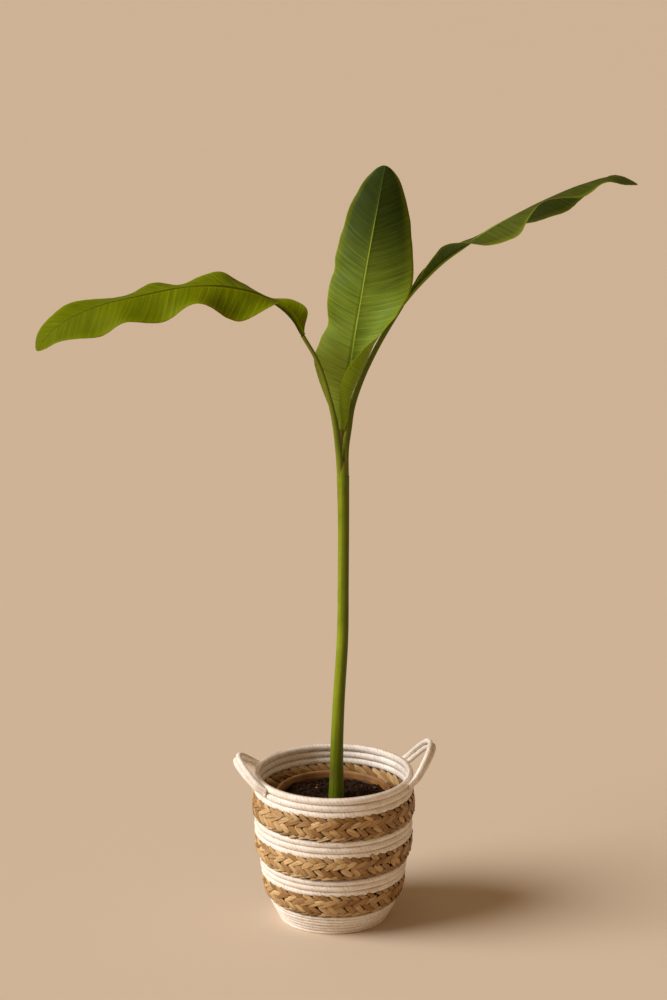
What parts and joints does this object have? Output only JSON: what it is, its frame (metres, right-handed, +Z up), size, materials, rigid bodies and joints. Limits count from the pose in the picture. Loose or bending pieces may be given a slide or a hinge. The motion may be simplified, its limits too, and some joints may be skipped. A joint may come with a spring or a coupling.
{
  "type": "potted banana plant in a rope basket",
  "caption": "Young banana plant with broad arching leaves, in a nursery pot that stands in a coiled cotton rope and plaited seagrass basket with loop handles.",
  "frame": {"origin": "centre of the basket's flat underside, on the floor", "axes": "+Z up; -X and +X point to the basket's two handles and to the two arching leaves; -Y is the front, which the upright middle leaf faces"},
  "size_m": [1.092, 0.3004, 1.4317],
  "materials": {
    "rope": "twisted undyed cotton rope",
    "seagrass": "dry plaited seagrass, satin",
    "pot": "thin moulded nursery pot, satin",
    "soil": "crumbly dark potting compost with wood chips",
    "stem": "smooth living green stem, satin",
    "petiole": "smooth living green leaf stalk, satin",
    "blade": "waxy living leaf, satin"
  },
  "bodies": {
    "root": {"basket_base": "rope", "rope_band_foot": "rope", "braid_band_low": "seagrass", "rope_band_low": "rope", "braid_band_mid": "seagrass", "rope_band_mid": "rope", "braid_band_top": "seagrass", "rope_band_rim": "rope", "handle_left": "rope", "handle_right": "rope", "nursery_pot": "pot", "soil": "soil", "pseudostem": "stem", "petiole_left": "petiole", "petiole_right": "petiole", "petiole_centre": "petiole", "blade_left": "blade", "blade_right": "blade", "blade_centre": "blade"}
  },
  "joints": []
}
